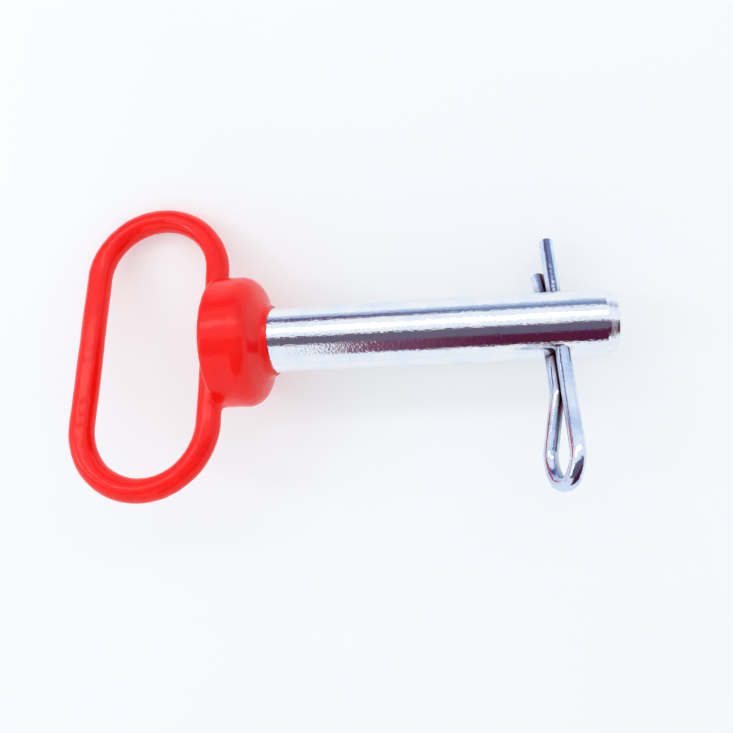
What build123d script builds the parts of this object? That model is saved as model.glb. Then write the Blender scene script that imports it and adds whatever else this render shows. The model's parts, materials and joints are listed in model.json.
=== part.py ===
"""Hitch pin lock: a headed steel pin with a welded loop handle, a dipped vinyl coat and a spring clip.

Units are millimetres. +X runs along the pin towards its tip, and +Z is up as the pin lies on a table.
The origin is on the pin's axis where the bare shank leaves the coat, which is where a drawbar seats.
The lying pin rests on the rim of its coated head and on the +Y end of its loop handle.
"""

import os
from math import asin, cos, degrees, radians, sin, tan

from build123d import *

# Shank
shank_diameter = 25.4  # a one inch pin
shank_reach = 126.6  # from the edge of the coat to the flat tip
tip_chamfer_length = 5.1
tip_chamfer_drop = 2.0
tip_edge_radius = 1.2

# Forged head
head_diameter = 49.3
head_length = 19.3  # from the back face to the foot of the shoulder
shoulder_angle = 20.0  # slope of the front face, away from square to the axis
shoulder_edge_radius = 6.5
back_edge_radius = 1.5
foot_radius = 2.5

# Cross hole that takes the clip's two legs
hole_station = 104.5  # from the edge of the coat
hole_angle = 31.5  # how far its +Y end points below the table's plane
hole_break = 0.4  # chamfer that breaks both mouths

# Loop handle of round rod, a closed loop with straight sides and half-round ends
rod_diameter = 8.0
loop_half_length = 56.6  # centre of the rod at one end to the middle of the loop
loop_half_width = 25.6  # also the bend radius of the two ends
rod_seat_depth = 0.5  # how far the rod sinks into the head's back face

# Weld metal
weld_leg = 3.4  # along the head's face, from the side of the rod
weld_height_share = 0.8  # height up the rod, as a share of its centre's height
weld_length = 30.0
butt_gap = 2.0  # between the two ends of the rod

# Dipped vinyl coat
coat_thickness = 0.75
collar_length = 3.0  # sleeve that the dip leaves on the shank
collar_thickness = 1.2
collar_edge_radius = 0.6

# Spring clip of round wire, with its lengths counted from the shank's surface
wire_diameter = 5.3
clip_roll = 57.0  # turn of the clip's plane about its own length, from the pin's axis
leg_clearance = 0.2  # between a leg and the wall of the hole
waist_gap = 0.1  # between the two legs where they run side by side
long_leg_past = 23.9  # to the long leg's end
short_leg_past = 11.6
flare_past = 0.8  # to where the short leg starts to lean outwards
flare_lean = 1.9  # how far its end leans out, and the room that the hole keeps for it
flare_radius = 9.0
waist_past = 13.8  # to the bend where the legs come together, on the eye's side
waist_radius = 12.0
eye_corner_past = 39.5
eye_past = 49.9  # to the corner that the eye's end is rounded from
eye_width = 14.6  # between the centres of the wire
eye_end_radius = 5.0
eye_side_radius = 14.0
wire_end_chamfer = 0.5

# Worked out from the sizes above
shank_radius = shank_diameter / 2
head_radius = head_diameter / 2
rod_radius = rod_diameter / 2
wire_radius = wire_diameter / 2
hole_diameter = 2 * wire_diameter + waist_gap + flare_lean + 2 * leg_clearance
hole_radius = hole_diameter / 2
coated_head_radius = head_radius + coat_thickness
coated_rod_radius = rod_radius + coat_thickness
foot_x = -collar_length
back_x = foot_x - head_length
near_leg_x = back_x + rod_seat_depth - rod_radius
far_leg_x = near_leg_x - 2 * loop_half_width
loop_straight = loop_half_length - loop_half_width
loop_tilt = degrees(asin((coated_head_radius - coated_rod_radius) / loop_half_length))
long_leg_offset = hole_radius - wire_radius - leg_clearance
short_leg_offset = long_leg_offset - wire_diameter - waist_gap


def shoulder_x(radius, skin=0.0):
    """Place along the pin of the sloping front face at a radius, with a skin of some thickness on it."""
    slope = radians(shoulder_angle)
    return foot_x + skin / cos(slope) - (radius - shank_radius) * tan(slope)


def turned(points, radii):
    """Solid of revolution about X, from an outline that starts and ends on the axis."""
    outline = FilletPolyline(*points, radius=radii) + Line(points[-1], points[0])
    return revolve(make_face(outline), Axis.X)


def head_and_shank():
    """The forging: head, shoulder, foot fillet and the shank with its chamfered tip."""
    chamfer_x = shank_reach - tip_chamfer_length
    tip_radius = shank_radius - tip_chamfer_drop
    points = [
        (back_x, 0),
        (back_x, head_radius),
        (shoulder_x(head_radius), head_radius),
        (foot_x, shank_radius),
        (chamfer_x, shank_radius),
        (shank_reach, tip_radius),
        (shank_reach, 0),
    ]
    radii = [back_edge_radius, shoulder_edge_radius, foot_radius, 0, tip_edge_radius]
    return turned(points, radii)


def head_coat_form():
    """Outer form of the coat on the head, with the short collar on the shank, as a solid plug."""
    collar_radius = shank_radius + collar_thickness
    points = [
        (back_x - coat_thickness, 0),
        (back_x - coat_thickness, coated_head_radius),
        (shoulder_x(coated_head_radius, coat_thickness), coated_head_radius),
        (shoulder_x(collar_radius, coat_thickness), collar_radius),
        (0, collar_radius),
        (0, 0),
    ]
    radii = [
        back_edge_radius + coat_thickness,
        shoulder_edge_radius + coat_thickness,
        foot_radius,
        collar_edge_radius,
    ]
    return turned(points, radii)


def tilted(shape):
    """Leans a shape of the flat loop about the pin's axis, so that the loop's +Y end meets the table."""
    return Rot(X=-loop_tilt) * shape


def loop_tube(radius):
    """Round tube along the flat loop: two straight sides and two half-round ends."""
    side = Rot(X=90) * Cylinder(radius, 2 * loop_straight)
    middle_x = (near_leg_x + far_leg_x) / 2
    section = Plane.XZ * Pos(X=loop_half_width) * Circle(radius)
    bend = revolve(section, Axis.Z, 180)
    tube = Pos(X=near_leg_x) * side + Pos(X=far_leg_x) * side
    tube += Pos(middle_x, loop_straight, 0) * bend
    tube += Pos(middle_x, -loop_straight, 0) * Rot(Z=180) * bend
    return tube


def weld_form(side, skin=0.0):
    """Fillet of weld along one side of the rod, before the rod and head are taken out of it."""
    reach = rod_radius + weld_leg + skin
    height = weld_height_share * (rod_radius - rod_seat_depth) + skin
    points = [
        (back_x + weld_leg, 0),
        (back_x + weld_leg, side * reach),
        (back_x, side * reach),
        (back_x - height, side * rod_radius),
        (back_x - height, 0),
    ]
    section = make_face(Polyline(*points, close=True))
    length = weld_length + 2 * skin
    return Rot(X=90) * Pos(Z=-length / 2) * extrude(section, length)


def clip_plane():
    """Plane of the clip: its X runs along the hole to the eye, and its Y across the two legs."""
    lean = radians(hole_angle)
    roll = radians(clip_roll)
    to_eye = Vector(0, -cos(lean), sin(lean))
    upward = Vector(0, sin(lean), cos(lean))
    across = Vector(1, 0, 0) * cos(roll) + upward * sin(roll)
    return Plane(origin=(hole_station, 0, 0), x_dir=to_eye, z_dir=to_eye.cross(across))


def clip_wire():
    """The clip: a long straight leg, a teardrop eye, a waist and a short leg with a flared end."""
    eye_middle = long_leg_offset - eye_width / 2
    eye_far = long_leg_offset - eye_width
    points = [
        (-shank_radius - long_leg_past, long_leg_offset),
        (shank_radius + eye_corner_past, long_leg_offset),
        (shank_radius + eye_past, eye_middle),
        (shank_radius + eye_corner_past, eye_far),
        (shank_radius + waist_past, short_leg_offset),
        (-shank_radius - flare_past, short_leg_offset),
        (-shank_radius - short_leg_past, short_leg_offset - flare_lean),
    ]
    radii = [eye_side_radius, eye_end_radius, eye_side_radius, waist_radius, flare_radius]
    path = FilletPolyline(*points, radius=radii)
    start = Plane(origin=path @ 0, z_dir=path % 0)
    wire = sweep(start * Circle(wire_radius), path)
    ends = wire.edges().filter_by(GeomType.CIRCLE).filter_by(
        lambda edge: min((edge.arc_center - path @ at).length for at in (0, 1)) < waist_gap
    )
    return clip_plane() * chamfer(ends, wire_end_chamfer)


def build():
    """All nodes by name."""
    rod_form = tilted(loop_tube(rod_radius))
    gap = Pos(X=near_leg_x) * Box(3 * rod_diameter, butt_gap, 3 * rod_diameter)
    rod = rod_form - tilted(gap)
    butt_weld = rod_form & tilted(gap)

    bore = clip_plane() * Rot(Y=90) * Cylinder(hole_radius, 2 * shank_diameter)
    pin = head_and_shank() - rod_form
    before = pin.edges()
    pin -= bore
    mouths = (pin.edges() - before).filter_by(lambda edge: edge.length > hole_radius)
    pin = chamfer(mouths, hole_break)

    side_welds = [tilted(weld_form(side)) - rod_form - head_and_shank() for side in (-1, 1)]
    coat = head_coat_form() + tilted(loop_tube(coated_rod_radius))
    for side in (-1, 1):
        coat += tilted(weld_form(side, coat_thickness))
    coat = coat - head_and_shank() - rod_form - side_welds[0] - side_welds[1]

    return {
        "pin_body": pin,
        "handle_rod": rod,
        "rod_butt_weld": butt_weld,
        "handle_side_welds": Compound(children=side_welds),
        "vinyl_coat": coat,
        "lock_clip": clip_wire(),
    }


os.makedirs("parts", exist_ok=True)
for name, node in build().items():
    export_step(node, os.path.join("parts", name + ".step"))
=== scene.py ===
"""Looks of the hitch pin lock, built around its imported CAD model.

Everything is in metres and in the CAD model's frame. +X runs along the pin to its tip, and +Z is up.
"""

import json
import math

import bmesh
import bpy
import numpy as np
from mathutils import Euler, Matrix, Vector


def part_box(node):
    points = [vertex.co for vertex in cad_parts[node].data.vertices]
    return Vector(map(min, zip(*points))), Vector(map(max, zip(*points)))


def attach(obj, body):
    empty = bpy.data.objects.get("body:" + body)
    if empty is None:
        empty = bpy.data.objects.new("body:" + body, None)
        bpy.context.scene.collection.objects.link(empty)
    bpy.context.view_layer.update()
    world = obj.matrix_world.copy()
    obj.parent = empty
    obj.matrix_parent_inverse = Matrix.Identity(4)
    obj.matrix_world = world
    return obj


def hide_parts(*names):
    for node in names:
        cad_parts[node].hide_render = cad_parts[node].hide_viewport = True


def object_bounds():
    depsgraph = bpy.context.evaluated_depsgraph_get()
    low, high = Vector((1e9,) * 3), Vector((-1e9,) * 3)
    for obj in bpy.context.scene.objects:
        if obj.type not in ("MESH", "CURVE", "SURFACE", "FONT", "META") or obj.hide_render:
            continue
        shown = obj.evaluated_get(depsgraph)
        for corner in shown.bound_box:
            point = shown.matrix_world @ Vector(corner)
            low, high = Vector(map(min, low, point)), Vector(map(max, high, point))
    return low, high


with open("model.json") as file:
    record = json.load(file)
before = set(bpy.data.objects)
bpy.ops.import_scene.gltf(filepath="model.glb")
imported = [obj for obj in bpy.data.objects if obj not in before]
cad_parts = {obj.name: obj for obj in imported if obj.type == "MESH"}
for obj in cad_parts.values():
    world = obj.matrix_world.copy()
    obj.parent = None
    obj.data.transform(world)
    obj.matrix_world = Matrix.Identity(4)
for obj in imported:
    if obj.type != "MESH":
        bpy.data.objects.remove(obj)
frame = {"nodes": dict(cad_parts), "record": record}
cad_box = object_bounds()

MM = 0.001
X_AXIS = Vector((1, 0, 0))

# Sizes read from the frame
pin_low, pin_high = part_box("pin_body")
rod_low, rod_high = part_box("handle_rod")
coat_low, coat_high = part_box("vinyl_coat")
shank_mount = next(m for m in frame["record"]["mounts"] if m["name"] == "shank")
slide = next(j for j in frame["record"]["behaviour"]["joints"] if j["name"] == "clip_slide")

SHANK_RADIUS = shank_mount["dims"]["r_mm"] * MM
BACK_X = pin_low[0]
TIP_X = pin_high[0]
HEAD_RADIUS = pin_high[2]
COAT = rod_low[0] - coat_low[0]
ROD_RADIUS = 4.0 * MM
COATED_HEAD = HEAD_RADIUS + COAT
COATED_ROD = ROD_RADIUS + COAT
NEAR_LEG_X = rod_high[0] - ROD_RADIUS
FAR_LEG_X = rod_low[0] + ROD_RADIUS
LOOP_MIDDLE_X = (NEAR_LEG_X + FAR_LEG_X) / 2
LOOP_HALF_WIDTH = (NEAR_LEG_X - FAR_LEG_X) / 2
LOOP_END_Y = rod_high[1] - ROD_RADIUS
LOOP_DROP = COATED_HEAD - COATED_ROD
LOOP_TILT = math.atan2(LOOP_DROP, LOOP_END_Y)
LOOP_STRAIGHT = math.hypot(LOOP_DROP, LOOP_END_Y) - LOOP_HALF_WIDTH

# Forging
FOOT_X = -3.0 * MM
SHOULDER_SLOPE = math.radians(20)
SHOULDER_ROUND = 6.5 * MM
BACK_ROUND = 1.5 * MM
FOOT_ROUND = 2.5 * MM
CHAMFER_LENGTH = 5.1 * MM
CHAMFER_DROP = 2.0 * MM
TIP_ROUND = 1.2 * MM
TURNING_PITCH = 0.42 * MM
TURNING_DEPTH = 0.022 * MM
TURNING_BEAT = 1.1 * MM  # how far along the chamfer the marks grow and fade
PIN_SEGMENTS = 288

# Cross hole
HOLE_X = 104.5 * MM
HOLE_RADIUS = 6.5 * MM
MOUTH_BREAK = 0.4 * MM
BURR = 0.07 * MM
BURR_GRAIN = 0.8 * MM
BIT_SEGMENTS = 128
ON_SURFACE = 0.02 * MM  # how near a point counts as on the shank or on the wall of the hole

# Dipped coat
COLLAR = 1.2 * MM
COLLAR_ROUND = 0.6 * MM
WEB_ALONG_LOOP = 2.6 * MM  # how far the coat fills the crease between the rod and the head
WEB_OVER_WELD = 6.0 * MM
WELD_HALF_LENGTH = 15.0 * MM
DIP_LINE_RAGGED = 0.35 * MM
DIP_LINE_SLANT = 0.9 * MM  # how much further the line runs back on the +Y side
SKIN_VOXEL = 0.5 * MM
SKIN_STEP = 0.05 * MM  # over which the skin's direction is measured
RELAXING_ROUNDS = 3
SETTLING_ROUNDS = 2
COAT_SEGMENTS = 120
LOOP_SEGMENTS = 144
LOOP_SIDES = 24

# Clip wire, with its lengths counted from the shank's surface
WIRE_RADIUS = 2.65 * MM
CLIP_ROLL = math.radians(57)
LEG_CLEARANCE = 0.2 * MM
WAIST_GAP = 0.1 * MM
LONG_LEG = HOLE_RADIUS - WIRE_RADIUS - LEG_CLEARANCE
SHORT_LEG = LONG_LEG - 2 * WIRE_RADIUS - WAIST_GAP
LONG_LEG_PAST = 23.9 * MM
SHORT_LEG_PAST = 11.6 * MM
FLARE_PAST = 0.8 * MM
FLARE_LEAN = 1.9 * MM
WAIST_PAST = 13.8 * MM
EYE_CORNER_PAST = 39.5 * MM
EYE_PAST = 49.9 * MM
EYE_WIDTH = 14.6 * MM
CLIP_ROUNDS = [14.0 * MM, 5.0 * MM, 14.0 * MM, 12.0 * MM, 9.0 * MM]
WIRE_CHAMFER = 0.5 * MM
WIRE_SIDES = 48


# Outlines and meshes

def rounded(corners, radii, step):
    """Points along an outline whose inner corners are rounded by arcs, spaced about step apart."""
    corners = [np.array(c, float) for c in corners]
    points = [corners[0]]
    for before, corner, after, radius in zip(corners, corners[1:], corners[2:], radii):
        into = (corner - before) / np.linalg.norm(corner - before)
        out = (after - corner) / np.linalg.norm(after - corner)
        turn = math.acos(np.clip(into @ out, -1, 1))
        cut = radius * math.tan(turn / 2)
        start = corner - into * cut
        centre = start + radius * (out - into * (into @ out)) / max(math.sin(turn), 1e-9)
        arms = (start - centre, into * radius)
        steps = max(1, math.ceil(radius * turn / step)) if radius else 0
        for i in range(steps + 1):
            angle = turn * i / steps if steps else 0
            points.append(centre + arms[0] * math.cos(angle) + arms[1] * math.sin(angle))
    points.append(corners[-1])
    filled = [points[0]]
    for a, b in zip(points, points[1:]):
        pieces = max(1, math.ceil(np.linalg.norm(b - a) / step))
        filled += [a + (b - a) * i / pieces for i in range(1, pieces + 1)]
    return np.array(filled)


def new_object(name, vertices, faces):
    """A smooth-shaded mesh object."""
    mesh = bpy.data.meshes.new(name)
    mesh.from_pydata([tuple(v) for v in vertices], [], faces)
    mesh.shade_smooth()
    thing = bpy.data.objects.new(name, mesh)
    bpy.context.collection.objects.link(thing)
    return thing


def rings_mesh(name, rings, first_pole, last_pole):
    """A closed skin over rings of equal length, with a pole at each end."""
    count = len(rings[0])
    vertices = [first_pole] + [p for ring in rings for p in ring] + [last_pole]
    last = len(vertices) - 1
    faces = []
    for j in range(count):
        k = (j + 1) % count
        faces.append((0, 1 + j, 1 + k))
        faces.append((last, last - count + k, last - count + j))
        for i in range(len(rings) - 1):
            a = 1 + i * count
            b = a + count
            faces.append((a + j, b + j, b + k, a + k))
    return new_object(name, vertices, faces)


def lathe(name, outline, segments):
    """A mesh turned about X from an outline of (x, radius) points that starts and ends on the axis."""
    angles = np.arange(segments) * 2 * math.pi / segments
    circle = np.stack([np.cos(angles), np.sin(angles)], 1)
    rings = [[(x, r * c, r * s) for c, s in circle] for x, r in outline[1:-1]]
    return rings_mesh(name, rings, (outline[0][0], 0, 0), (outline[-1][0], 0, 0))


def bake(thing):
    """Turns an object's modifiers into its mesh."""
    evaluated = thing.evaluated_get(bpy.context.evaluated_depsgraph_get())
    mesh = bpy.data.meshes.new_from_object(evaluated)
    thing.modifiers.clear()
    old = thing.data
    thing.data = mesh
    bpy.data.meshes.remove(old)


def coordinates(mesh):
    """A mesh's vertices as an array of rows."""
    flat = np.empty(len(mesh.vertices) * 3)
    mesh.vertices.foreach_get("co", flat)
    return flat.reshape(-1, 3)


def waves(points, length, seed, count=24):
    """Smooth noise of mean 0 and about unit size, with features about length across."""
    rng = np.random.default_rng(seed)
    directions = rng.normal(size=(count, 3))
    directions *= rng.uniform(0.6, 1.4, (count, 1)) / np.linalg.norm(directions, axis=1)[:, None]
    phases = rng.uniform(0, 2 * math.pi, count)
    return np.sin(points @ directions.T * math.pi / length + phases).sum(1) / math.sqrt(count / 2)


# Pin

def shoulder_x(radius, skin=0.0):
    """Place along the pin of the head's sloping front, with a skin of some thickness on it."""
    run = (radius - SHANK_RADIUS) * math.tan(SHOULDER_SLOPE)
    return FOOT_X + skin / math.cos(SHOULDER_SLOPE) - run


def pin_outline():
    """The forging's outline, with turning marks on the chamfer and on the flat tip."""
    corners = [
        (BACK_X, 0),
        (BACK_X, HEAD_RADIUS),
        (shoulder_x(HEAD_RADIUS), HEAD_RADIUS),
        (FOOT_X, SHANK_RADIUS),
        (TIP_X - CHAMFER_LENGTH, SHANK_RADIUS),
        (TIP_X, SHANK_RADIUS - CHAMFER_DROP),
        (TIP_X, 0),
    ]
    rounds = [BACK_ROUND, SHOULDER_ROUND, FOOT_ROUND, 0, TIP_ROUND]
    coarse = rounded(corners, rounds, 4 * MM)
    fine = rounded(corners, rounds, TURNING_PITCH / 4)
    turned_from = TIP_X - CHAMFER_LENGTH + 0.2 * MM
    plain = coarse[coarse[:, 0] < turned_from - 0.4 * MM]
    outline = np.vstack([plain, fine[fine[:, 0] > turned_from]])
    turned = outline[:, 0] > turned_from
    along = outline[:, 0] - outline[:, 1]
    groove = TURNING_DEPTH * (1 + np.sin(along * 2 * math.pi / TURNING_PITCH)) / 2
    depth = np.where(turned, groove * (1 + 0.6 * np.sin(along / TURNING_BEAT)), 0)
    outline[:, 0] -= depth * math.sqrt(0.5)
    outline[1:-1, 1] -= depth[1:-1] * math.sqrt(0.5)
    return outline


def hole_distance(points):
    """How far each point is from the axis of the cross hole."""
    away = points - np.array([HOLE_X, 0, 0])
    axis = np.array(slide["axis"])
    return np.linalg.norm(away - np.outer(away @ axis, axis), axis=1)


def cut_hole(pin):
    """Cuts the cross hole."""
    reach = 2 * SHANK_RADIUS
    outline = [(-reach, 0), (-reach, HOLE_RADIUS), (reach, HOLE_RADIUS), (reach, 0)]
    bit = lathe("bit", outline, BIT_SEGMENTS)
    bit.rotation_mode = "QUATERNION"
    bit.rotation_quaternion = X_AXIS.rotation_difference(Vector(slide["axis"]))
    bit.location = (HOLE_X, 0, 0)
    cut = pin.modifiers.new("cross_hole", "BOOLEAN")
    cut.object = bit
    cut.solver = "EXACT"
    bake(pin)
    bpy.data.objects.remove(bit)


def break_mouths(pin):
    """Breaks the sharp edges of the cross hole's two mouths."""
    work = bmesh.new()
    work.from_mesh(pin.data)
    work.verts.ensure_lookup_table()
    spots = np.array([v.co for v in work.verts])
    shank = np.abs(np.linalg.norm(spots[:, 1:], axis=1) - SHANK_RADIUS) < ON_SURFACE
    rim = shank & (np.abs(hole_distance(spots) - HOLE_RADIUS) < ON_SURFACE)
    edges = [e for e in work.edges if rim[e.verts[0].index] and rim[e.verts[1].index]]
    bmesh.ops.bevel(
        work, geom=edges, offset=MOUTH_BREAK, segments=4, profile=0.5, affect="EDGES"
    )
    work.to_mesh(pin.data)
    work.free()


def tear_mouths(pin):
    """Sinks the broken edges a little and unevenly, as a drill leaves them."""
    spots = coordinates(pin.data)
    off_shank = SHANK_RADIUS - np.linalg.norm(spots[:, 1:], axis=1)
    from_hole = hole_distance(spots) - HOLE_RADIUS
    torn = (off_shank > 0.01 * MM) & (off_shank < 2.4 * MM)
    torn &= (from_hole > 0.01 * MM) & (from_hole < 1 * MM)
    torn &= spots[:, 0] > 0
    share = 1 - BURR / SHANK_RADIUS * (1 + waves(spots[torn], BURR_GRAIN, 5))
    spots[torn, 1:] *= share[:, None]
    pin.data.vertices.foreach_set("co", spots.ravel())


def shade_shank(mesh):
    """Gives the shank the normals of a true cylinder, whatever faces the hole has left there."""
    mesh.set_sharp_from_angle(angle=math.radians(14))
    normals = np.empty(len(mesh.loops) * 3)
    mesh.corner_normals.foreach_get("vector", normals)
    normals = normals.reshape(-1, 3)
    corner_vertex = np.empty(len(mesh.loops), int)
    mesh.loops.foreach_get("vertex_index", corner_vertex)
    spots = coordinates(mesh)
    radius = np.linalg.norm(spots[:, 1:], axis=1)
    on_shank = (np.abs(radius - SHANK_RADIUS) < 0.003 * MM) & (spots[:, 0] > FOOT_X + 2 * MM)
    for face in mesh.polygons:
        corners = slice(face.loop_start, face.loop_start + face.loop_total)
        vertices = corner_vertex[corners]
        if on_shank[vertices].all():
            normals[corners] = spots[vertices] * (0, 1, 1) / SHANK_RADIUS
    mesh.normals_split_custom_set(normals.tolist())


def make_pin():
    """The forged and plated pin, with its turned chamfer and drilled cross hole."""
    pin = lathe("plated_pin", pin_outline(), PIN_SEGMENTS)
    cut_hole(pin)
    break_mouths(pin)
    tear_mouths(pin)
    shade_shank(pin.data)
    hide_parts("pin_body")
    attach(pin, "pin")
    return pin


# Coat

def loop_frame(points):
    """Across, along and out of the loop handle's plane, from the loop's middle."""
    lean = LOOP_TILT
    across = points[:, 0] - LOOP_MIDDLE_X
    along = points[:, 1] * math.cos(lean) - points[:, 2] * math.sin(lean)
    out = points[:, 1] * math.sin(lean) + points[:, 2] * math.cos(lean)
    return across, along, out


def loop_distance(points):
    """Signed distance from the coated rod of the loop handle."""
    across, along, out = loop_frame(points)
    past = np.maximum(np.abs(along) - LOOP_STRAIGHT, 0)
    from_track = np.hypot(across, past) - LOOP_HALF_WIDTH
    return np.hypot(from_track, out) - COATED_ROD


def head_outline():
    """The outer outline of the coat on the head, with its short collar on the shank."""
    collar = SHANK_RADIUS + COLLAR
    corners = [
        (BACK_X - COAT, 0),
        (BACK_X - COAT, COATED_HEAD),
        (shoulder_x(COATED_HEAD, COAT), COATED_HEAD),
        (shoulder_x(collar, COAT), collar),
        (0, collar),
        (0, 0),
    ]
    rounds = [BACK_ROUND + COAT, SHOULDER_ROUND + COAT, FOOT_ROUND, COLLAR_ROUND]
    return rounded(corners, rounds, 0.9 * MM)


HEAD_OUTLINE = head_outline()


def outline_distance(outline, flat):
    """Signed distance of (x, radius) points from an outline that runs clockwise round its solid."""
    nearest = np.full(len(flat), 1e9)
    signed = np.zeros(len(flat))
    for a, b in zip(outline, outline[1:]):
        run = b - a
        away = flat - a
        share = np.clip(away @ run / (run @ run), 0, 1)
        gap = away - share[:, None] * run
        distance = np.hypot(gap[:, 0], gap[:, 1])
        outside = away[:, 1] * run[0] - away[:, 0] * run[1] > 0
        closer = distance < nearest
        nearest = np.where(closer, distance, nearest)
        signed = np.where(closer, np.where(outside, distance, -distance), signed)
    return signed


def blend_union(a, b, reach):
    """Smooth union of two distances, which fills the crease between them over that reach."""
    h = np.maximum(reach - np.abs(a - b), 0) / reach
    return np.minimum(a, b) - h * h * reach / 4


def skin_distance(points):
    """Signed distance from the outer face of the dipped coat."""
    angle = np.arctan2(points[:, 2], points[:, 1])
    on_circle = np.stack([np.cos(angle), np.sin(angle), 0 * angle], 1)
    ragged = DIP_LINE_RAGGED * (waves(on_circle, 0.35, 11) + 0.6 * waves(on_circle, 0.12, 12)) / 2
    near_edge = np.clip(1 + points[:, 0] / (3 * MM), 0, 1)
    slant = DIP_LINE_SLANT * (1 + np.cos(angle)) / 2
    x = points[:, 0] + near_edge * (np.maximum(ragged, 0) + slant)
    radius = np.hypot(points[:, 1], points[:, 2])
    head = outline_distance(HEAD_OUTLINE, np.stack([x, radius], 1))
    loop = loop_distance(points)
    _, along, _ = loop_frame(points)
    over_weld = np.clip((WELD_HALF_LENGTH + 3 * MM - np.abs(along)) / (6 * MM), 0, 1)
    reach = WEB_ALONG_LOOP + (WEB_OVER_WELD - WEB_ALONG_LOOP) * over_weld
    sag = 0.045 * MM * (1 + waves(points, 9 * MM, 21)) + 0.02 * MM * (1 + waves(points, 2.5 * MM, 22))
    return blend_union(head, loop, reach) + np.maximum(sag, 0)


def skin_facing(points):
    """Distance from the coat, and the unit direction in which it grows."""
    here = skin_distance(points)
    gradient = np.stack([skin_distance(points + axis * SKIN_STEP) - here for axis in np.eye(3)], 1)
    return here[:, None], gradient / np.linalg.norm(gradient, axis=1)[:, None]


def loop_core():
    """A plain ring along the loop handle, which the coat is built up from."""
    track = []
    for angle in np.linspace(0, 2 * math.pi, LOOP_SEGMENTS, endpoint=False):
        sine = math.sin(angle)
        straight = math.copysign(LOOP_STRAIGHT, sine) if abs(sine) > 1e-9 else 0
        across = LOOP_HALF_WIDTH * math.cos(angle)
        track.append((across, LOOP_HALF_WIDTH * sine + straight, angle))
    vertices = []
    for across, along, angle in track:
        for k in range(LOOP_SIDES):
            turn = 2 * math.pi * k / LOOP_SIDES
            out = COATED_ROD * math.sin(turn)
            wide = COATED_ROD * math.cos(turn)
            u = across + wide * math.cos(angle)
            v = along + wide * math.sin(angle)
            y = v * math.cos(LOOP_TILT) + out * math.sin(LOOP_TILT)
            z = -v * math.sin(LOOP_TILT) + out * math.cos(LOOP_TILT)
            vertices.append((u + LOOP_MIDDLE_X, y, z))
    faces = []
    count = len(track)
    for i in range(count):
        a = i * LOOP_SIDES
        b = (i + 1) % count * LOOP_SIDES
        for k in range(LOOP_SIDES):
            after = (k + 1) % LOOP_SIDES
            faces.append((a + k, b + k, b + after, a + after))
    return new_object("loop_core", vertices, faces)


def rough_coat():
    """The head's form and the loop's ring as one even, closed mesh."""
    coat = lathe("vinyl_skin", HEAD_OUTLINE, COAT_SEGMENTS)
    core = loop_core()
    join = coat.modifiers.new("handle", "BOOLEAN")
    join.operation = "UNION"
    join.object = core
    remesh = coat.modifiers.new("skin", "REMESH")
    remesh.mode = "VOXEL"
    remesh.voxel_size = SKIN_VOXEL
    bake(coat)
    bpy.data.objects.remove(core)
    return coat


def relaxed(points, edges):
    """Points moved half way to the middle of their neighbours."""
    middle = np.zeros_like(points)
    np.add.at(middle, edges[:, 0], points[edges[:, 1]])
    np.add.at(middle, edges[:, 1], points[edges[:, 0]])
    neighbours = np.bincount(edges.ravel(), minlength=len(points))[:, None]
    return points + 0.5 * (middle / neighbours - points)


def make_coat():
    """The dipped vinyl over the head and the loop handle, as one closed soft-edged skin."""
    coat = rough_coat()
    mesh = coat.data
    points = coordinates(mesh)
    edges = np.empty(len(mesh.edges) * 2, int)
    mesh.edges.foreach_get("vertices", edges)
    edges = edges.reshape(-1, 2)
    for _ in range(RELAXING_ROUNDS):
        distance, outward = skin_facing(points)
        points = relaxed(points - outward * distance, edges)
    for _ in range(SETTLING_ROUNDS):
        distance, outward = skin_facing(points)
        points -= outward * distance
    mesh.vertices.foreach_set("co", points.ravel())
    mesh.shade_smooth()
    mesh.normals_split_custom_set_from_vertices(skin_facing(points)[1].tolist())
    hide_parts("vinyl_coat")
    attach(coat, "pin")
    return coat


# Clip

def clip_track():
    """The wire's centre line as (along the hole, across the legs) points."""
    eye_middle = LONG_LEG - EYE_WIDTH / 2
    eye_far = LONG_LEG - EYE_WIDTH
    corners = [
        (-SHANK_RADIUS - LONG_LEG_PAST, LONG_LEG),
        (SHANK_RADIUS + EYE_CORNER_PAST, LONG_LEG),
        (SHANK_RADIUS + EYE_PAST, eye_middle),
        (SHANK_RADIUS + EYE_CORNER_PAST, eye_far),
        (SHANK_RADIUS + WAIST_PAST, SHORT_LEG),
        (-SHANK_RADIUS - FLARE_PAST, SHORT_LEG),
        (-SHANK_RADIUS - SHORT_LEG_PAST, SHORT_LEG - FLARE_LEAN),
    ]
    return rounded(corners, CLIP_ROUNDS, 0.6 * MM)


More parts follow.
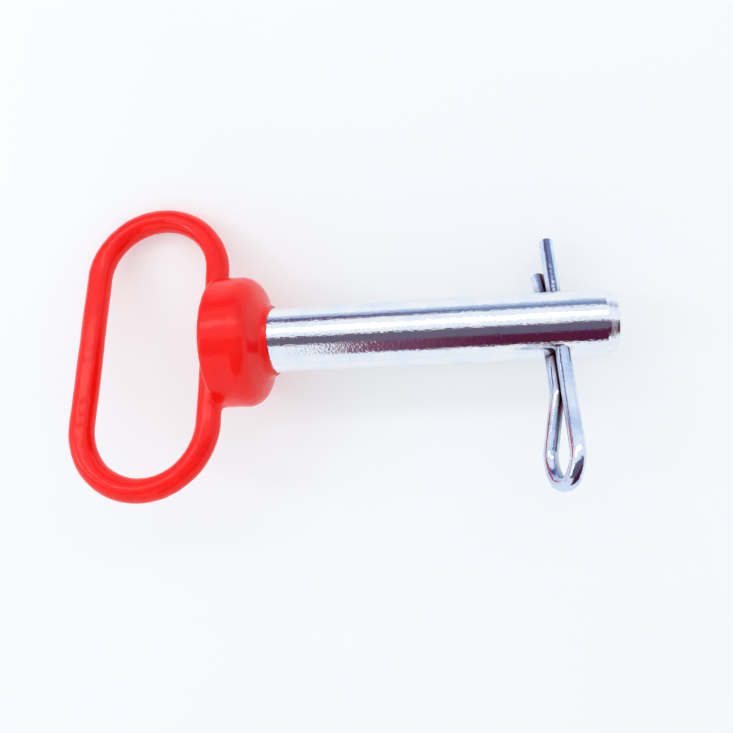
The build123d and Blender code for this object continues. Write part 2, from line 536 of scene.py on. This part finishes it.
def make_clip():
    """The bent spring wire, with sheared ends and the light marks of the bending tool."""
    to_eye = Vector(slide["axis"])
    upward = to_eye.cross(X_AXIS)
    across = X_AXIS * math.cos(CLIP_ROLL) + upward * math.sin(CLIP_ROLL)
    normal = np.array(to_eye.cross(across))
    track = clip_track()
    along_hole = track[:, :1] * np.array(to_eye)
    centres = np.array([HOLE_X, 0, 0]) + along_hole + track[:, 1:] * np.array(across)
    tangents = np.gradient(centres, axis=0)
    tangents /= np.linalg.norm(tangents, axis=1)[:, None]
    pieces = np.linalg.norm(np.diff(centres, axis=0), axis=1)
    length = np.concatenate([[0], np.cumsum(pieces)])
    from_end = np.minimum(length, length[-1] - length)
    angles = np.arange(WIRE_SIDES) * 2 * math.pi / WIRE_SIDES
    rings = []
    for centre, tangent, end in zip(centres, tangents, from_end):
        side = np.cross(tangent, normal)
        spokes = np.outer(np.cos(angles), normal) + np.outer(np.sin(angles), side)
        ring = centre + WIRE_RADIUS * spokes
        dent = 0.012 * MM * (1 + waves(ring, 3.0 * MM, 31))
        dent += 0.006 * MM * (1 + waves(ring, 0.9 * MM, 32))
        radius = WIRE_RADIUS - np.maximum(dent, 0) - max(WIRE_CHAMFER - end, 0)
        rings.append(centre + radius[:, None] * spokes)
    clip = rings_mesh("spring_clip", rings, centres[0], centres[-1])
    clip.data.set_sharp_from_angle(angle=math.radians(35))
    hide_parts("lock_clip")
    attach(clip, "clip")
    return clip


# Materials

def material(name):
    """A new node material: its node tree, its Principled shader and its object coordinates."""
    made = bpy.data.materials.new(name)
    made.use_nodes = True
    tree = made.node_tree
    shader = tree.nodes["Principled BSDF"]
    place = tree.nodes.new("ShaderNodeTexCoord").outputs["Object"]
    return made, tree, shader, place


def stretched(tree, place, scale):
    """Coordinates scaled by that much along each axis."""
    mapping = tree.nodes.new("ShaderNodeMapping")
    mapping.inputs["Scale"].default_value = scale
    tree.links.new(place, mapping.inputs["Vector"])
    return mapping.outputs["Vector"]


def noise(tree, place, size, detail):
    """Cloudy noise with features about size across, and that many finer layers on top."""
    node = tree.nodes.new("ShaderNodeTexNoise")
    node.inputs["Scale"].default_value = 1 / size
    node.inputs["Detail"].default_value = detail
    tree.links.new(place, node.inputs["Vector"])
    return node.outputs["Fac"]


def ramp(tree, value, stops):
    """A colour ramp with stops of (position, colour)."""
    node = tree.nodes.new("ShaderNodeValToRGB")
    elements = node.color_ramp.elements
    while len(elements) < len(stops):
        elements.new(0.5)
    for element, (position, colour) in zip(elements, stops):
        element.position = position
        element.color = (*colour, 1)
    tree.links.new(value, node.inputs["Fac"])
    return node.outputs["Color"]


def spread(tree, value, low, high, from_low=0.3, from_high=0.7):
    """A value moved from one range to another."""
    node = tree.nodes.new("ShaderNodeMapRange")
    node.inputs["From Min"].default_value = from_low
    node.inputs["From Max"].default_value = from_high
    node.inputs["To Min"].default_value = low
    node.inputs["To Max"].default_value = high
    tree.links.new(value, node.inputs["Value"])
    return node.outputs["Result"]


def bump(tree, height, depth, under=None):
    """A bump of that depth in metres, on top of another one."""
    node = tree.nodes.new("ShaderNodeBump")
    node.inputs["Strength"].default_value = 1.0
    node.inputs["Distance"].default_value = depth
    tree.links.new(height, node.inputs["Height"])
    if under is not None:
        tree.links.new(under, node.inputs["Normal"])
    return node.outputs["Normal"]


def shade_in_crevices(tree, bright, shade_colour, reach, closed, open_air):
    """A colour that turns to the painted shade colour where little of the open air is in sight, as
    inside the cross hole, standing in for the shade there and the dark reflection of the hole's wall.

    The surface looks as far as reach, and takes the full painted shade at the share closed and the
    bright colour at the share open_air.
    """
    shade = tree.nodes.new("ShaderNodeAmbientOcclusion")
    shade.inputs["Distance"].default_value = reach
    clear = spread(tree, shade.outputs["AO"], 0, 1, closed, open_air)
    mix = tree.nodes.new("ShaderNodeMix")
    mix.data_type = "RGBA"
    tree.links.new(clear, mix.inputs["Factor"])
    tree.links.new(shade_colour, mix.inputs["A"])
    tree.links.new(bright, mix.inputs["B"])
    return mix.outputs["Result"]


def zinc_material(name, cool, plain, grain_depth, line_scale, crevice_shade):
    """Bright zinc plating: blue-white and mirror-like, with a coarse grain and drawn lines, and a
    painted dark maroon shade and reflection in crevices such as the cross hole.
    """
    made, tree, shader, place = material(name)
    link = tree.links.new
    clouds = noise(tree, place, 9 * MM, 4)
    tint = ramp(tree, clouds, [(0.3, cool), (0.6, plain)])
    # Painted shade and painted dark reflection, mottled by noise: a dark maroon laid in where the open
    # air is hidden, as inside the cross hole.
    shade_mottle = noise(tree, place, 1.5 * MM, 4)
    shade_colour = ramp(tree, shade_mottle, [(0.3, (0.07, 0.012, 0.03)), (0.7, (0.16, 0.03, 0.06))])
    link(shade_in_crevices(tree, tint, shade_colour, *crevice_shade), shader.inputs["Base Color"])
    shader.inputs["Metallic"].default_value = 1.0
    link(spread(tree, noise(tree, place, 2.2 * MM, 5), 0.05, 0.12), shader.inputs["Roughness"])
    grain = bump(tree, noise(tree, place, 0.7 * MM, 1.0), grain_depth)
    lines = noise(tree, stretched(tree, place, line_scale), 0.5 * MM, 2)
    drawn = bump(tree, lines, grain_depth / 8, grain)
    waviness = bump(tree, noise(tree, place, 6 * MM, 2), 0.05 * MM, drawn)
    link(waviness, shader.inputs["Normal"])
    return made


def vinyl_material():
    """Dipped red vinyl: saturated, glossy, a little translucent and not quite even."""
    made, tree, shader, place = material("red_vinyl_dip")
    link = tree.links.new
    clouds = noise(tree, place, 14 * MM, 3)
    red = ramp(tree, clouds, [(0.25, (0.83, 0.003, 0.001)), (0.75, (0.96, 0.006, 0.002))])
    link(red, shader.inputs["Base Color"])
    link(spread(tree, noise(tree, place, 5 * MM, 4), 0.17, 0.24), shader.inputs["Roughness"])
    shader.inputs["Subsurface Weight"].default_value = 0.15
    shader.inputs["Subsurface Radius"].default_value = (1.0, 0.15, 0.08)
    shader.inputs["Subsurface Scale"].default_value = 0.8 * MM
    shader.inputs["Specular IOR Level"].default_value = 0.36
    peel = bump(tree, noise(tree, place, 1.6 * MM, 2), 0.018 * MM)
    sag = bump(tree, noise(tree, place, 7 * MM, 2), 0.2 * MM, peel)
    link(sag, shader.inputs["Normal"])
    return made


def steel_material(name, dark, light, grain):
    """Bare or welded steel under the coat."""
    made, tree, shader, place = material(name)
    tint = ramp(tree, noise(tree, place, 3 * MM, 5), [(0.3, dark), (0.7, light)])
    tree.links.new(tint, shader.inputs["Base Color"])
    shader.inputs["Metallic"].default_value = 0.9
    tree.links.new(spread(tree, noise(tree, place, grain, 4), 0.35, 0.6), shader.inputs["Roughness"])
    tree.links.new(bump(tree, noise(tree, place, grain, 4), 0.05 * MM), shader.inputs["Normal"])
    return made


def paint(thing, finish):
    """Gives an object one material."""
    thing.data.materials.clear()
    thing.data.materials.append(finish)


def repaint(node, finish):
    """Gives a CAD node's slots a better material."""
    for each in frame["nodes"][node].material_slots:
        each.material = finish


# Stage

FLOOR_HALF = 1.5
CARD_RADIUS = 0.6  # from the pin's axis
CARD_POINTS = 12
CARD_FADE = (-0.05, 0.14)  # the stretch of X over which the cards change colour
CAMERA_SPOT = (0.0606087, 0.0069992, 0.2295829)
CAMERA_TURN = (-5.01744, 6.17004, -3.27700)  # degrees about X, Y and Z
CAMERA_LENS = 29.468


def floor_material():
    """Pale, softly mottled paper that glows a little, so that shadows on it stay faint."""
    made, tree, shader, place = material("pale_floor")
    clouds = noise(tree, place, 0.3, 2)
    tint = ramp(tree, clouds, [(0.35, (0.505, 0.515, 0.52)), (0.65, (0.515, 0.525, 0.53))])
    tree.links.new(tint, shader.inputs["Base Color"])
    tree.links.new(tint, shader.inputs["Emission Color"])
    shader.inputs["Emission Strength"].default_value = 0.74
    shader.inputs["Roughness"].default_value = 0.9
    shader.inputs["Specular IOR Level"].default_value = 0.0
    return made


def card_material(name, towards_head, towards_tip):
    """A dark card that fades from one colour to another along the pin."""
    made, tree, shader, place = material(name)
    split = tree.nodes.new("ShaderNodeSeparateXYZ")
    tree.links.new(place, split.inputs["Vector"])
    along = spread(tree, split.outputs["X"], 0, 1, *CARD_FADE)
    tint = ramp(tree, along, [(0, towards_head), (1, towards_tip)])
    tree.links.new(tint, shader.inputs["Emission Color"])
    shader.inputs["Emission Strength"].default_value = 1.0
    shader.inputs["Base Color"].default_value = (0, 0, 0, 1)
    shader.inputs["Specular IOR Level"].default_value = 0.0
    return made


def make_floor():
    """A wide pale floor under the object."""
    half = FLOOR_HALF
    z = cad_box[0][2]
    corners = [(-half, -half, z), (half, -half, z), (half, half, z), (-half, half, z)]
    floor = new_object("floor", corners, [(0, 1, 2, 3)])
    paint(floor, floor_material())


def make_card(name, from_angle, to_angle, x_from, x_to, finish):
    """A curved card over the pin that only shows in reflections. Angles lean from straight up to +Y."""
    angles = np.linspace(math.radians(from_angle), math.radians(to_angle), CARD_POINTS)
    arc = [(CARD_RADIUS * math.sin(a), CARD_RADIUS * math.cos(a)) for a in angles]
    vertices = [(x, y, z) for x in (x_from, x_to) for y, z in arc]
    count = len(arc)
    faces = [(i, i + 1, count + i + 1, count + i) for i in range(count - 1)]
    card = new_object(name, vertices, faces)
    paint(card, finish)
    card.visible_camera = False
    card.visible_diffuse = False
    card.visible_shadow = False
    card.visible_transmission = False


def make_cards():
    """Dark and hazy cards that draw the bands seen in the plating."""
    slate = card_material("slate_card", (0.16, 0.13, 0.19), (0.14, 0.12, 0.19))
    wine = card_material("wine_card", (0.24, 0.09, 0.17), (0.095, 0.012, 0.045))
    dusk = card_material("dusk_card", (0.16, 0.11, 0.24), (0.20, 0.27, 0.46))
    haze = card_material("haze_card", (0.48, 0.60, 0.80), (0.45, 0.58, 0.78))
    make_card("card_over_camera", -17, 12, -0.9, 2.2, slate)
    make_card("card_low_far", 66, 81, -1.4, 0.7, dusk)
    make_card("card_horizon", 81, 92, -1.4, 2.2, haze)
    make_card("card_near", -56, -17, -0.07, 2.2, wine)


def make_light(name, spot, target, width, height, power, colour):
    """A soft area light that faces a target."""
    lamp = bpy.data.lights.new(name, "AREA")
    lamp.shape = "RECTANGLE"
    lamp.size = width
    lamp.size_y = height
    lamp.energy = power
    lamp.color = colour
    holder = bpy.data.objects.new(name, lamp)
    holder.location = spot
    holder.rotation_euler = (Vector(target) - Vector(spot)).to_track_quat("-Z", "Y").to_euler()
    bpy.context.collection.objects.link(holder)


def make_world():
    """Even, pale light from all round."""
    world = bpy.data.worlds.new("pale_room")
    world.use_nodes = True
    backdrop = world.node_tree.nodes["Background"]
    backdrop.inputs["Color"].default_value = (0.93, 0.96, 1.0, 1)
    backdrop.inputs["Strength"].default_value = 0.97
    bpy.context.scene.world = world
    bpy.context.scene.view_settings.view_transform = "Standard"


def make_camera():
    """A camera close above the object, looking almost straight down."""
    lens = bpy.data.cameras.new("camera")
    lens.lens = CAMERA_LENS
    lens.sensor_width = 36.0
    camera = bpy.data.objects.new("camera", lens)
    camera.location = CAMERA_SPOT
    camera.rotation_euler = Euler([math.radians(a) for a in CAMERA_TURN])
    lens.clip_start = 0.01
    bpy.context.collection.objects.link(camera)
    bpy.context.scene.camera = camera


def finish_pieces():
    """Builds the pieces and gives each one its material."""
    pin_zinc = zinc_material(
        "bright_zinc",
        cool=(0.80, 0.865, 0.945),
        plain=(0.90, 0.915, 0.94),
        grain_depth=0.055 * MM,
        line_scale=(0.08, 1, 1),
        # Painted shade and reflection inside the cross hole: how far it looks, and the shares of open
        # air at which it is fully shaded and fully bright.
        crevice_shade=(7 * MM, 0.30, 0.62),
    )
    wire_zinc = zinc_material(
        "bright_zinc_wire",
        cool=(0.48, 0.62, 0.86),
        plain=(0.74, 0.82, 0.94),
        grain_depth=0.03 * MM,
        line_scale=(1, 0.1, 0.1),
        # Painted shade and reflection where the wire runs into the cross hole: how far it looks, and
        # the shares of open air at which it is fully shaded and fully bright.
        crevice_shade=(9 * MM, 0.50, 0.88),
    )
    paint(make_pin(), pin_zinc)
    paint(make_clip(), wire_zinc)
    paint(make_coat(), vinyl_material())
    rolled = steel_material("rolled_rod", (0.20, 0.20, 0.21), (0.42, 0.42, 0.43), 0.8 * MM)
    weld = steel_material("weld_bead", (0.16, 0.14, 0.13), (0.38, 0.36, 0.34), 1.4 * MM)
    repaint("handle_rod", rolled)
    repaint("rod_butt_weld", weld)
    repaint("handle_side_welds", weld)


def main():
    """Builds the object and the stage."""
    finish_pieces()
    make_floor()
    make_cards()
    make_light("strip_far", (0.0, 0.55, 0.75), (0.03, 0, 0), 1.4, 0.12, 1.6, (1.0, 1.0, 1.0))
    make_light("softbox_left", (-0.75, 0.1, 0.7), (-0.05, 0, 0), 0.15, 0.5, 1.2, (0.96, 0.97, 1.0))
    make_world()
    make_camera()


main()
